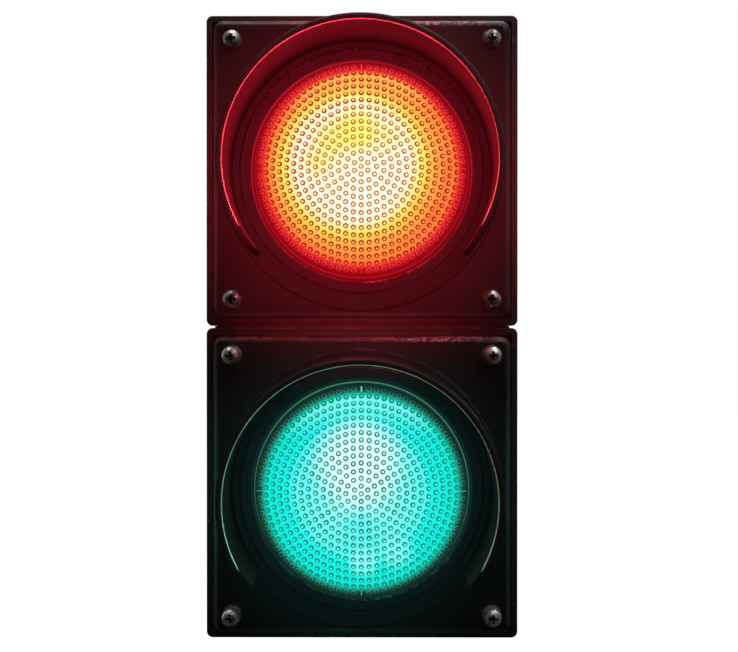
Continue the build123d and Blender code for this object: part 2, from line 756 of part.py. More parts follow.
# ---- Link cable ------------------------------------------------------------------------------------
def lower_link_cable():
    """Cable from the lower terminal block up to the middle of the nipple."""
    wire_depth = driver_board_front + 4.5
    return cable([
        (10, -wire_depth, -36),
        (16, -wire_depth, -60),
        (46, -22, -52),
        (47, -26, -8),
        (44, -28, 24),
        (26, -31, 41),
        (0, -hub_depth, 48),
        (0, -hub_depth, joint_plane - link_cable_gap / 2),
    ], link_cable_r)


def upper_link_cable():
    """Cable from the middle of the nipple to the upper terminal block."""
    bottom = joint_plane + link_cable_gap / 2
    return cable([
        (0, -hub_depth, bottom),
        (0, -hub_depth, bottom + 18),
        (9, -25, bottom + 29),
        (10, -(driver_board_front + 4.5), section_pitch - 36),
    ], link_cable_r)


# ---- Build and write -------------------------------------------------------------------------------
SECTION_PARTS = {
    "gasket": cover_gasket,
    "cover": cover,
    "lens": lens,
    "lens_seal": lens_seal,
    "lens_retainer": lens_retainer,
    "retainer_screws": retainer_screws,
    "visor": visor,
    "cover_washers": cover_washers,
    "driver_board": driver_board,
    "board_spacers": board_spacers,
    "board_screws": board_screws,
    "led_board": led_board,
    "leds": leds,
    "diffuser": diffuser,
    "driver_components": driver_components,
    "terminal_block": terminal_block,
    "terminal_screws": terminal_screws,
    "led_leads": led_leads,
    "mounting_inserts": mounting_inserts,
}
HUB_PARTS = {
    "coupling_nipple": coupling_nipple,
    "coupling_washers": coupling_washers,
    "coupling_nuts": coupling_nuts,
    "coupling_spacer": coupling_spacer,
    "coupling_seals": coupling_seals,
    "gland_washer": gland_washer,
    "gland_body": gland_body,
    "gland_locknut": gland_locknut,
    "gland_seal": gland_seal,
    "gland_nut": gland_nut,
    "lower_link_cable": lower_link_cable,
    "upper_link_cable": upper_link_cable,
}
PLUG_PARTS = {
    "plug": hub_plug,
    "plug_seal": hub_plug_seal,
    "plug_nut": hub_plug_nut,
}


def main():
    """Builds every part and writes one STEP file for each."""
    os.makedirs("parts", exist_ok=True)
    raise_section = Pos(0, 0, section_pitch)
    export_step(housing(True), "parts/lower_housing.step")
    export_step(raise_section * housing(False), "parts/upper_housing.step")
    export_step(cover_screws(tall_screw_head_height), "parts/lower_cover_screws.step")
    export_step(raise_section * cover_screws(screw_head_height), "parts/upper_cover_screws.step")
    for name, make in SECTION_PARTS.items():
        shape = make()
        export_step(shape, f"parts/lower_{name}.step")
        export_step(raise_section * shape, f"parts/upper_{name}.step")
    for name, make in HUB_PARTS.items():
        export_step(make(), f"parts/{name}.step")
    middle = (bottom_face + top_face + section_pitch) / 2
    turn_over = Pos(0, -hub_depth, middle) * Rot(180, 0, 0) * Pos(0, hub_depth, -middle)
    for name, make in PLUG_PARTS.items():
        shape = make()
        export_step(shape, f"parts/bottom_{name}.step")
        export_step(turn_over * shape, f"parts/top_{name}.step")


main()
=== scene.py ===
import logging
import math
from dataclasses import dataclass, field
from enum import Enum
from typing import Any, Sequence

import bmesh
import bpy
from mathutils import Matrix, Vector


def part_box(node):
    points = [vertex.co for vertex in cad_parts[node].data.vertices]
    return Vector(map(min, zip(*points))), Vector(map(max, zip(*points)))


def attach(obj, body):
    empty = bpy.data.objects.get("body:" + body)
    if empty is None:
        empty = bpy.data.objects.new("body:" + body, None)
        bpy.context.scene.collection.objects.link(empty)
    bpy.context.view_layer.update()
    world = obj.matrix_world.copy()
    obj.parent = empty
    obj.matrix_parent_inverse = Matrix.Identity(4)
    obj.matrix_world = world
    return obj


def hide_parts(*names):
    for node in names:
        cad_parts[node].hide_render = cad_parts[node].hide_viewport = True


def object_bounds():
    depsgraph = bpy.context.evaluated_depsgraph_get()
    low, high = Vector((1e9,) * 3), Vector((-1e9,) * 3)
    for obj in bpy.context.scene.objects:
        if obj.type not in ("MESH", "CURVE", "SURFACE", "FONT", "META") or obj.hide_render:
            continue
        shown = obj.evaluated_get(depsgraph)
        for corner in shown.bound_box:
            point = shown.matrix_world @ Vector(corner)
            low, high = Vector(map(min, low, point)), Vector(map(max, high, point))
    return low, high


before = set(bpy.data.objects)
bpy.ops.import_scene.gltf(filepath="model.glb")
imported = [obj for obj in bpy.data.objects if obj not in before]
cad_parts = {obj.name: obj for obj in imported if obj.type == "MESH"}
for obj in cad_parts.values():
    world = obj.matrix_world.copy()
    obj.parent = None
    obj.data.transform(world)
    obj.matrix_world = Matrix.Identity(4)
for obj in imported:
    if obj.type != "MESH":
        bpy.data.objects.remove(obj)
CAD_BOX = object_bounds()

LOG = logging.getLogger("signal_head")
MM = 0.001
PER_MM = 1000.0
FULL_TURN = 2 * math.pi
X, Y, Z = 0, 1, 2
Rgba = tuple[float, float, float, float]
Socket = bpy.types.NodeSocket
Stops = Sequence[tuple[float, Rgba]]


def tint(red: int, green: int, blue: int) -> Rgba:
    """Turns screen colour values into the linear colour that a shader takes.

    Args:
        red: Red, 0 to 255.
        green: Green, 0 to 255.
        blue: Blue, 0 to 255.

    Returns:
        The linear colour with full alpha.
    """
    def linear(value: int) -> float:
        """Linear value of one channel."""
        share = value / 255
        return share / 12.92 if share <= 0.04045 else ((share + 0.055) / 1.055) ** 2.4

    return linear(red), linear(green), linear(blue), 1.0


def stops(*rows: tuple[float, int, int, int]) -> Stops:
    """Colour stops from rows of a place and a screen colour."""
    return [(place, tint(*colour)) for place, *colour in rows]


def grey(level: int) -> Rgba:
    """Neutral colour of one screen level."""
    return tint(level, level, level)


class Section(Enum):
    """The two sections of the head."""

    LOWER = "lower"
    UPPER = "upper"

    def node(self, part: str) -> str:
        """CAD node name of one of this section's parts."""
        return f"{self.value}_{part}"


class Graph:
    """A node tree with short calls that place and join its nodes."""

    def __init__(self, tree: bpy.types.NodeTree) -> None:
        """Wraps the tree.

        Args:
            tree: The tree to build in.
        """
        self.tree = tree

    def add(self, kind: str, feeds: dict[Any, Any] | None = None, **settings: Any) -> bpy.types.Node:
        """Places a node.

        Args:
            kind: Blender's name for the node type.
            feeds: Input name or index to a socket or a constant.
            settings: Node properties.

        Returns:
            The new node.
        """
        node = self.tree.nodes.new(kind)
        for name, value in settings.items():
            setattr(node, name, value)
        for key, value in (feeds or {}).items():
            self.feed(node.inputs[key], value)
        return node

    def feed(self, socket: Socket, value: Any) -> None:
        """Joins a socket to an input, or sets the input's constant."""
        if isinstance(value, Socket):
            self.tree.links.new(value, socket)
        else:
            socket.default_value = value

    def math(self, operation: str, a: Any, b: Any = 0.0, clamp: bool = False) -> Socket:
        """Arithmetic on two values."""
        return self.add("ShaderNodeMath", {0: a, 1: b}, operation=operation, use_clamp=clamp).outputs[0]

    def times(self, a: Any, b: Any) -> Socket:
        """Product of two values."""
        return self.math("MULTIPLY", a, b)

    def vector(self, operation: str, a: Any, b: Any = (0.0, 0.0, 0.0)) -> Socket:
        """Arithmetic on two vectors; a length or a dot product is a value."""
        node = self.add("ShaderNodeVectorMath", {0: a, 1: b}, operation=operation)
        return node.outputs["Value" if operation in ("LENGTH", "DOT_PRODUCT") else "Vector"]

    def axis(self, vector: Any, index: int) -> Socket:
        """One component of a vector: X, Y or Z."""
        return self.add("ShaderNodeSeparateXYZ", {0: vector}).outputs[index]

    def spoke(self, offset: Any, scale: float = 1.0) -> Socket:
        """Length of a vector seen from the front, its depth left out."""
        flat = self.vector("MULTIPLY", offset, (scale, 0.0, scale))
        return self.vector("LENGTH", flat)

    def lerp(self, share: Any, a: Any, b: Any) -> Socket:
        """Mixes two values."""
        return self.add("ShaderNodeMix", {0: share, 2: a, 3: b}).outputs[0]

    def blend(self, share: Any, a: Any, b: Any) -> Socket:
        """Mixes two colours.

        Args:
            share: How much of b shows, 0 to 1.
            a: First colour.
            b: Second colour.

        Returns:
            The mixed colour.
        """
        return self.add("ShaderNodeMix", {0: share, 6: a, 7: b}, data_type="RGBA").outputs[2]

    def ramp(self, share: Any, stops: Stops) -> Socket:
        """Colour ramp through the given stops."""
        node = self.add("ShaderNodeValToRGB", {0: share})
        elements = node.color_ramp.elements
        elements[0].position, elements[0].color = stops[0]
        elements[1].position, elements[1].color = stops[-1]
        for place, colour in stops[1:-1]:
            elements.new(place).color = colour
        return node.outputs[0]

    def levels(self, share: Any, stops: Sequence[tuple[float, float]]) -> Socket:
        """Ramp of plain values."""
        return self.ramp(share, [(place, (value, value, value, 1.0)) for place, value in stops])

    def span(self, value: Any, low: float, high: float, start: float = 0.0,
             end: float = 1.0) -> Socket:
        """Maps the span low to high smoothly onto start to end."""
        feeds = {"Value": value, 1: low, 2: high, 3: start, 4: end}
        return self.add("ShaderNodeMapRange", feeds, interpolation_type="SMOOTHSTEP").outputs[0]

    def noise(self, place: Any, scale: Any, detail: float = 3.0,
              roughness: float = 0.55) -> Socket:
        """Fractal noise, 0 to 1."""
        feeds = {"Vector": place, "Scale": scale, "Detail": detail, "Roughness": roughness}
        return self.add("ShaderNodeTexNoise", feeds).outputs[0]

    def coords(self) -> Socket:
        """Object coordinates, in metres."""
        return self.add("ShaderNodeTexCoord").outputs["Object"]


class Effect:
    """A shader node group that several materials share."""

    def __init__(self, name: str, inputs: dict[str, float], outputs: dict[str, str]) -> None:
        """Makes the group and its sockets.

        Args:
            name: Group name.
            inputs: Name and default of each value input.
            outputs: Name and socket type of each output.
        """
        self.tree = bpy.data.node_groups.new(name, "ShaderNodeTree")
        for label, default in inputs.items():
            socket = self.tree.interface.new_socket(label, in_out="INPUT", socket_type="NodeSocketFloat")
            socket.default_value = default
        for label, kind in outputs.items():
            self.tree.interface.new_socket(label, in_out="OUTPUT", socket_type=kind)
        self.graph = Graph(self.tree)
        self.source = self.graph.add("NodeGroupInput")
        self.sink = self.graph.add("NodeGroupOutput")

    def put(self, graph: Graph, **values: Any) -> bpy.types.Node:
        """Places this group in a material.

        Args:
            graph: The material's graph.
            values: Input values; underscores stand for spaces.

        Returns:
            The group node.
        """
        node = graph.add("ShaderNodeGroup", node_tree=self.tree)
        for name, value in values.items():
            graph.feed(node.inputs[name.replace("_", " ")], value)
        return node


class Effects:
    """The shared effects, each built once."""

    def __init__(self) -> None:
        """Builds every effect."""
        self.grain = self._grain()
        self.dust = self._dust()
        self.wear = self._wear()
        self.smudge = self._smudge()

    def _grain(self) -> Effect:
        """Fine moulded or cast grain: a height and a slow mottle."""
        effect = Effect("surface_grain", {"Scale": 900.0, "Mottle scale": 40.0},
                        {"Height": "NodeSocketFloat", "Mottle": "NodeSocketFloat"})
        g, source = effect.graph, effect.source
        place = g.coords()
        for name, scale, detail in (("Height", "Scale", 2.0), ("Mottle", "Mottle scale", 4.0)):
            g.feed(effect.sink.inputs[name], g.noise(place, source.outputs[scale], detail, 0.6))
        return effect

    def _dust(self) -> Effect:
        """Settled dust on faces that look up, and single pale flecks everywhere."""
        effect = Effect("settled_dust", {"Amount": 0.5, "Flecks": 0.5}, {"Mask": "NodeSocketFloat"})
        g, source = effect.graph, effect.source
        place = g.coords()
        normal = g.add("ShaderNodeNewGeometry").outputs["Normal"]
        up = g.vector("DOT_PRODUCT", normal, (0.0, 0.0, 1.0))
        shelf = g.span(up, 0.15, 0.95)
        cloud = g.span(g.noise(place, 260.0, 6.0, 0.75), 0.42, 0.68)
        patch = g.span(g.noise(place, 28.0, 3.0), 0.35, 0.65, 0.25, 1.0)
        settled = g.times(g.times(shelf, cloud), patch)
        settled = g.times(settled, source.outputs["Amount"])
        cells = g.add("ShaderNodeTexVoronoi", {"Vector": place, "Scale": 95.0, "Randomness": 1.0})
        speck = g.span(cells.outputs["Distance"], 0.028, 0.055, 1.0, 0.0)
        chance = g.add("ShaderNodeSeparateColor", {0: cells.outputs["Color"]}).outputs[0]
        rare = g.math("GREATER_THAN", chance, 0.86)
        speck = g.times(g.times(speck, rare), source.outputs["Flecks"])
        g.feed(effect.sink.inputs["Mask"], g.math("MAXIMUM", settled, speck))
        return effect

    def _wear(self) -> Effect:
        """Rubbed edges: a mask where the surface turns sharply, broken up by noise."""
        effect = Effect("edge_wear", {"Radius": 0.0008, "Amount": 0.6}, {"Mask": "NodeSocketFloat"})
        g, source = effect.graph, effect.source
        place = g.coords()
        rounded = g.add("ShaderNodeBevel", {"Radius": source.outputs["Radius"]}, samples=4).outputs[0]
        flat = g.add("ShaderNodeNewGeometry").outputs["Normal"]
        turn = g.vector("DOT_PRODUCT", rounded, flat)
        edge = g.span(turn, 0.995, 0.90)
        broken = g.span(g.noise(place, 420.0, 5.0, 0.7), 0.36, 0.62)
        rub = g.times(edge, broken)
        g.feed(effect.sink.inputs["Mask"], g.times(rub, source.outputs["Amount"]))
        return effect

    def _smudge(self) -> Effect:
        """Wiped grease and water marks, as long soft streaks."""
        effect = Effect("wiped_smudge", {"Scale": 14.0}, {"Mask": "NodeSocketFloat"})
        g, source = effect.graph, effect.source
        place = g.vector("MULTIPLY", g.coords(), (1.0, 1.0, 0.35))
        streak = g.add("ShaderNodeTexNoise", {"Vector": place, "Scale": source.outputs["Scale"],
                                              "Detail": 5.0, "Roughness": 0.62,
                                              "Distortion": 0.8}).outputs[0]
        g.feed(effect.sink.inputs["Mask"], g.span(streak, 0.35, 0.7))
        return effect


EFFECTS = Effects()


class Surface:
    """A new material with its graph, its principled shader and its output."""

    def __init__(self, name: str) -> None:
        """Makes the material.

        Args:
            name: Material name.
        """
        self.material = bpy.data.materials.new(name)
        self.material.use_nodes = True
        self.material.node_tree.nodes.clear()
        self.graph = Graph(self.material.node_tree)
        self.shader = self.graph.add("ShaderNodeBsdfPrincipled")
        self.output = self.graph.add("ShaderNodeOutputMaterial", {0: self.shader.outputs[0]})

    def set(self, **values: Any) -> None:
        """Feeds the principled shader's inputs; underscores stand for spaces."""
        for name, value in values.items():
            self.graph.feed(self.shader.inputs[name.replace("_", " ")], value)

    def bump(self, height: Any, distance: float) -> None:
        """Raises the surface by a height map.

        Args:
            height: Height socket, 0 to 1.
            distance: Metres from lowest to highest.
        """
        node = self.graph.add("ShaderNodeBump", {"Height": height, "Distance": distance})
        self.set(Normal=node.outputs[0])

    def cast(self, shader: bpy.types.Node) -> None:
        """Lets another shader answer every ray that does not come from the eye."""
        seen = self.graph.add("ShaderNodeLightPath").outputs["Is Camera Ray"]
        feeds = {0: seen, 1: shader.outputs[0], 2: self.shader.outputs[0]}
        self.graph.feed(self.output.inputs[0], self.graph.add("ShaderNodeMixShader", feeds).outputs[0])


@dataclass(frozen=True)
class MouldedPlastic:
    """Satin moulded plastic with grain, rubbed edges, smudges and dust."""

    name: str
    colour: Rgba
    wear_and_sheen_colour: Rgba
    roughness: float = 0.40
    grain_scale: float = 1100.0
    grain_depth: float = 0.000012
    wear: float = 0.5
    wear_radius: float = 0.0008
    dust: float = 0.4
    flecks: float = 0.3
    gloss: float = 0.45
    dust_colour: Rgba = tint(176, 168, 158)
    deep_share: float = 0.7
    smudge_roughness: float = 0.12
    dust_roughness: float = 0.35

    def _wear_and_sheen_mask(self, g: Graph) -> Socket:
        """Mask of the rubbed places.

        Args:
            g: The material's graph.

        Returns:
            One where the surface is rubbed through, zero where it is whole.
        """
        return EFFECTS.wear.put(g, Radius=self.wear_radius, Amount=self.wear).outputs[0]

    def material(self) -> bpy.types.Material:
        """Builds the material."""
        surface = Surface(self.name)
        g = surface.graph
        grain = EFFECTS.grain.put(g, Scale=self.grain_scale, Mottle_scale=45.0)
        wear = self._wear_and_sheen_mask(g)
        dust = EFFECTS.dust.put(g, Amount=self.dust, Flecks=self.flecks).outputs[0]
        smudge = EFFECTS.smudge.put(g, Scale=16.0).outputs[0]
        deep = tuple(self.deep_share * c for c in self.colour[:3]) + (1.0,)
        base = g.blend(grain.outputs["Mottle"], deep, self.colour)
        # The rubbed colour; on the covers and visors the same mask and colour also paint a highlight.
        base = g.blend(wear, base, self.wear_and_sheen_colour)
        base = g.blend(dust, base, self.dust_colour)
        rough = g.add("ShaderNodeMath", {0: smudge, 1: self.smudge_roughness, 2: self.roughness - 0.05},
                      operation="MULTIPLY_ADD").outputs[0]
        rough = g.math("ADD", rough, g.times(dust, self.dust_roughness), clamp=True)
        surface.set(Base_Color=base, Roughness=rough, Specular_IOR_Level=self.gloss)
        surface.bump(grain.outputs["Height"], self.grain_depth)
        return surface.material


@dataclass(frozen=True)
class RimHighlightPlastic(MouldedPlastic):
    """Visor plastic with a painted highlight: a pale line along the inner side of its front edge, where the
    lens light catches the rim.
    """

    node: str = ""
    inner_radius: float = 60.1 * MM
    line_width: float = 0.3 * MM
    line_fade: float = 0.25 * MM
    tip_depth: tuple[float, float] = (0.6 * MM, 1.0 * MM)

    def _wear_and_sheen_mask(self, g: Graph) -> Socket:
        """Mask of the painted highlight line round the inner side of the front edge."""
        low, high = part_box(self.node)
        centre = ((low[0] + high[0]) / 2, 0.0, high[2] - (high[0] - low[0]) / 2)
        place = g.coords()
        radius = g.spoke(g.vector("SUBTRACT", place, centre))
        # Painted highlight: only the front tip of the rim, just outside the inner radius, broken up by noise.
        full, none = self.tip_depth
        tip = g.span(g.axis(place, Y), low[1] + full, low[1] + none, 1.0, 0.0)
        outer = self.inner_radius + self.line_width
        line = g.span(radius, outer, outer + self.line_fade, 1.0, 0.0)
        uneven = g.span(g.noise(place, 24.0, 2.0), 0.3, 0.6, 0.55, 1.0)
        return g.times(g.times(tip, line), uneven)


@dataclass(frozen=True)
class BevelledPlastic(MouldedPlastic):
    """Cover plastic: only its outer bevel is marked, with scuffs along the top, most of all to the right, and
    a painted highlight, a soft pale band on the top, side and foot bevels.
    """

    node: str = ""
    bevel: float = 3.1 * MM
    side_sheen: float = 0.07
    top_sheen: float = 0.02
    foot_sheen: float = 0.05
    drift: tuple[float, float] = (10 * MM, 34 * MM)

    def _wear_and_sheen_mask(self, g: Graph) -> Socket:
        """Mask of the bevel: scratches and chips along the top, and a painted highlight band on the top, side
        and foot bevels.
        """
        low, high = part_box(self.node)
        middle = ((low[0] + high[0]) / 2, 0.0, (low[2] + high[2]) / 2)
        place = g.coords()
        offset = g.vector("SUBTRACT", place, middle)
        across, up = g.axis(offset, X), g.axis(offset, Z)
        half_width, half_height = (high[0] - low[0]) / 2, (high[2] - low[2]) / 2
        lip = 0.4 * self.bevel
        top = g.span(up, half_height - self.bevel, half_height - lip)
        side = g.span(g.math("ABSOLUTE", across), half_width - self.bevel, half_width - lip)
        foot = g.span(up, lip - half_height, self.bevel - half_height, 1.0, 0.0)
        stretched = g.vector("MULTIPLY", place, (0.5, 1.0, 1.0))
        grit = g.span(g.noise(stretched, 900.0, 4.0, 0.75), 0.48, 0.62)
        drift = g.span(across, *self.drift, 0.05, 1.0)
        scuffed = g.times(g.times(grit, drift), top)
        # Painted highlight: a soft pale band on the top, side and foot bevels, made patchy below.
        soft = g.math("ADD", g.times(top, self.top_sheen), g.times(side, self.side_sheen))
        soft = g.math("ADD", soft, g.times(foot, self.foot_sheen))
        patchy = g.span(g.noise(place, 70.0, 3.0), 0.3, 0.65, 0.6, 1.0)
        rubbed = g.math("ADD", g.times(soft, patchy), scuffed, clamp=True)
        return g.times(rubbed, self.wear)


@dataclass(frozen=True)
class Metal:
    """Plated or machined metal with dirt blotches and fine marks; on screw heads, painted shade darkens the
    drive recesses and a ring round them.
    """

    name: str
    colour: Rgba
    dirt_and_shade: Rgba
    roughness: float = 0.32
    soil: float = 0.5
    purity: float = 1.0
    mark_scale: float = 700.0
    mark_depth: float = 0.00002
    heads: str = ""
    head_radius: float = 4.0 * MM

    def _recess_shade(self, g: Graph) -> Socket:
        """Mask of the painted shade in and round the drive recesses of four screws that stand in a square.

        Args:
            g: The material's graph.

        Returns:
            One inside the recesses, zero elsewhere.
        """
        low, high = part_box(self.heads)
        centre = ((low[0] + high[0]) / 2, 0.0, (low[2] + high[2]) / 2)
        corner = ((high[0] - low[0]) / 2 - self.head_radius, 0.0, (high[2] - low[2]) / 2 - self.head_radius)
        place = g.coords()
        offset = g.vector("ABSOLUTE", g.vector("SUBTRACT", place, centre))
        radius = g.spoke(g.vector("SUBTRACT", offset, corner))
        deep = g.span(g.axis(place, Y), low[1] + 0.6 * MM, low[1] + 1.1 * MM)
        inside = g.times(deep, g.span(radius, 2.4 * MM, 2.6 * MM, 1.0, 0.0))
        smear = g.span(g.noise(place, 900.0, 3.0), 0.44, 0.56, 0.15, 1.0)
        shade_halo = g.times(g.span(radius, 1.7 * MM, 3.0 * MM, 1.0, 0.0), smear)
        return g.math("MAXIMUM", inside, shade_halo)

    def material(self) -> bpy.types.Material:
        """Builds the material."""
        surface = Surface(self.name)
        g = surface.graph
        grain = EFFECTS.grain.put(g, Scale=self.mark_scale, Mottle_scale=260.0)
        blot = g.span(grain.outputs["Mottle"], 0.46, 0.62)
        soil_and_shade = g.times(blot, self.soil)
        # On screw heads, painted shade darkens the drive recesses in the dirt colour.
        if self.heads:
            soil_and_shade = g.math("MAXIMUM", soil_and_shade, self._recess_shade(g))
        surface.set(
            Base_Color=g.blend(soil_and_shade, self.colour, self.dirt_and_shade),
            Metallic=g.math("SUBTRACT", self.purity, g.times(soil_and_shade, 0.03), clamp=True),
            Roughness=g.math("ADD", self.roughness, g.times(soil_and_shade, 0.4), clamp=True),
        )
        surface.bump(grain.outputs["Height"], self.mark_depth)
        return surface.material


@dataclass(frozen=True)
class Rubber:
    """Matt black rubber with a dusty bloom."""

    name: str
    colour: Rgba

    def material(self) -> bpy.types.Material:
        """Builds the material."""
        surface = Surface(self.name)
        g = surface.graph
        grain = EFFECTS.grain.put(g, Scale=1400.0, Mottle_scale=90.0)
        bloom = g.span(grain.outputs["Mottle"], 0.45, 0.75, 0.0, 0.25)
        surface.set(Base_Color=g.blend(bloom, self.colour, grey(92)),
                    Roughness=g.span(grain.outputs["Mottle"], 0.3, 0.7, 0.62, 0.85),
                    Specular_IOR_Level=0.25)
        surface.bump(grain.outputs["Height"], 0.00002)
        return surface.material


@dataclass(frozen=True)
class BoardLaminate:
    """Circuit board with solder mask, copper tracks under it and bare pads."""

    name: str
    mask: Rgba
    track: Rgba
    pad: Rgba = tint(196, 190, 176)

    def material(self) -> bpy.types.Material:
        """Builds the material."""
        surface = Surface(self.name)
        g = surface.graph
        place = g.coords()
        facing = g.add("ShaderNodeMapping", {0: place, "Rotation": (math.pi / 2, 0.0, 0.0)}).outputs[0]
        cells = g.add("ShaderNodeTexBrick", {
            "Vector": facing, "Scale": 120.0, "Mortar Size": 0.09, "Color1": grey(0), "Color2": grey(0),
            "Mortar": grey(255),
        })
        tracks = cells.outputs["Color"]
        pads = g.add("ShaderNodeTexVoronoi", {"Vector": place, "Scale": 210.0, "Randomness": 0.3})
        pad = g.span(pads.outputs["Distance"], 0.16, 0.2, 1.0, 0.0)
        base = g.blend(tracks, self.mask, self.track)
        base = g.blend(pad, base, self.pad)
        rough = g.span(g.noise(place, 80.0), 0.3, 0.7, 0.28, 0.42)
        surface.set(Base_Color=base, Metallic=pad, Roughness=rough)
        surface.bump(tracks, 0.00003)
        return surface.material


@dataclass(frozen=True)
class ClearResin:
    """Cast clear or frosted resin, tinted, with a soft inner glow."""

    name: str
    colour: Rgba
    glow: Rgba
    glow_strength: float
    roughness: float = 0.2

    def material(self) -> bpy.types.Material:
        """Builds the material."""
        surface = Surface(self.name)
        g = surface.graph
        grain = EFFECTS.grain.put(g, Scale=800.0, Mottle_scale=120.0)
        mottle = grain.outputs["Mottle"]
        pale = g.blend(g.span(mottle, 0.3, 0.7, 0.0, 0.3), self.colour, grey(250))
        rough = g.span(mottle, 0.3, 0.7, self.roughness, self.roughness + 0.12)
        surface.set(Base_Color=pale, Roughness=rough, Emission_Color=self.glow,
                    Emission_Strength=self.glow_strength)
        surface.bump(grain.outputs["Height"], 0.00001)
        return surface.material


@dataclass(frozen=True)
class BoardComponents:
    """Mixed components: each one's colour comes from where it stands on the board."""

    name: str
    rise: float
    film_end: float = -20 * MM
    can_start: float = 14 * MM
    fuse_end: float = 12 * MM
    fuse_top: float = -8.5 * MM

    def material(self) -> bpy.types.Material:
        """Builds the material."""
        surface = Surface(self.name)
        g = surface.graph
        place = g.coords()
        x, z = g.axis(place, X), g.math("SUBTRACT", g.axis(place, Z), self.rise)
        winding = g.noise(g.vector("MULTIPLY", place, (0.2, 1.0, 8.0)), 300.0, 1.0)
        core = g.blend(g.span(winding, 0.4, 0.6), tint(70, 46, 22), tint(168, 112, 38))
        can = g.math("GREATER_THAN", x, self.can_start)
        film = g.math("LESS_THAN", x, self.film_end)
        fuse = g.times(g.math("LESS_THAN", z, self.fuse_top),
                      g.math("LESS_THAN", x, self.fuse_end))
        base = g.blend(can, core, tint(24, 30, 62))
        base = g.blend(film, base, tint(46, 96, 104))
        base = g.blend(fuse, base, tint(190, 196, 192))
        speckle = g.noise(place, 500.0)
        surface.set(Base_Color=base, Roughness=g.span(speckle, 0.3, 0.7, 0.25, 0.45))
        surface.bump(speckle, 0.00003)
        return surface.material


@dataclass(frozen=True)
class Glow:
    """What a lit lens looks like: its colour by distance from the axis, and softer patches over it.

    Distances are in millimetres. A patch is its place across and up from the axis, the radius inside which
    it is full, the radius where it ends, and its colour.
    """

    rings: Stops
    bead_edge_lights: Stops
    bead_edge_shift: Rgba
    # Colour of the painted glint at each bead's crown; the LEDs take it as their resin colour too.
    core: Rgba
    tick_highlight: Rgba
    crescent: Rgba
    patches: Sequence[tuple[float, float, float, float, Rgba]]
    drift: tuple[float, float]
    spill: Rgba
    spill_strength: float
    body: Rgba


RED_GLOW = Glow(
    rings=stops(
        (0.0, 253, 250, 228), (22.0, 254, 250, 230), (26.6, 254, 249, 218), (28.8, 253, 246, 180),
        (31.2, 253, 242, 138), (33.0, 252, 228, 98), (34.9, 250, 207, 86), (36.7, 250, 187, 79),
        (39.2, 250, 166, 73), (41.9, 250, 150, 70), (43.3, 242, 124, 60), (44.9, 242, 100, 60),
        (45.8, 232, 52, 46), (46.6, 206, 12, 26), (47.8, 170, 6, 19), (49.4, 148, 5, 16),
        (50.3, 136, 6, 15), (50.5, 178, 22, 34), (50.8, 178, 22, 34), (51.0, 118, 6, 13),
        (52.4, 118, 6, 13),
    ),
    bead_edge_lights=stops(
        (0.0, 168, 148, 56), (12.0, 172, 138, 46), (25.0, 170, 112, 22), (31.0, 160, 68, 4),
        (39.0, 164, 48, 0), (44.0, 176, 30, 2), (46.2, 196, 24, 30), (47.4, 228, 92, 98),
        (52.4, 190, 40, 54),
    ),
    bead_edge_shift=tint(168, 150, 70),
    core=tint(255, 250, 236),
    tick_highlight=tint(222, 84, 92),
    crescent=tint(254, 190, 92),
    patches=[
        (-20.0, 3.0, 1.0, 11.0, tint(253, 244, 152)),
        (12.0, 14.0, 0.0, 11.0, tint(253, 245, 160)),
        (-13.0, 13.0, 2.0, 14.0, tint(253, 245, 128)),
        (-1.5, 17.0, 5.0, 14.0, tint(253, 246, 110)),
        (3.0, -12.0, 2.0, 16.0, tint(255, 252, 240)),
    ],
    drift=(-3.6, 1.8),
    spill=(1.0, 0.02, 0.05, 1.0),
    spill_strength=1.6,
    body=tint(16, 1, 2),
)

GREEN_GLOW = Glow(
    rings=stops(
        (0.0, 182, 252, 248), (8.4, 166, 251, 247), (14.0, 144, 251, 246), (19.5, 124, 251, 245),
        (25.0, 108, 249, 243), (28.2, 98, 249, 243), (31.0, 76, 248, 240), (33.4, 30, 243, 233),
        (39.0, 20, 240, 227), (42.5, 18, 236, 216), (44.4, 20, 226, 200), (45.5, 20, 196, 168),
        (46.5, 14, 118, 100), (47.4, 11, 66, 55), (48.6, 12, 54, 45), (50.3, 10, 44, 36),
        (50.5, 72, 124, 104), (50.8, 72, 124, 104), (51.0, 10, 40, 33), (52.4, 10, 40, 33),
    ),
    bead_edge_lights=stops(
        (0.0, 84, 176, 166), (14.0, 56, 162, 154), (28.0, 24, 150, 144), (34.0, 4, 156, 150),
        (43.0, 3, 150, 136), (45.4, 10, 112, 96), (47.2, 84, 150, 134), (52.4, 60, 120, 104),
    ),
    bead_edge_shift=tint(10, 116, 110),
    core=tint(236, 255, 255),
    tick_highlight=tint(176, 230, 216),
    crescent=tint(126, 251, 246),
    patches=[
        (-1.0, 14.0, 9.0, 26.0, tint(234, 254, 253)),
        (0.0, -20.0, 5.0, 15.0, tint(92, 248, 243)),
        (1.0, -32.0, 2.0, 9.0, tint(150, 254, 253)),
        (16.0, -27.0, 1.0, 11.0, tint(140, 253, 251)),
    ],
    drift=(-0.8, 0.6),
    spill=(0.25, 1.0, 0.78, 1.0),
    spill_strength=0.09,
    body=tint(1, 10, 8),
)


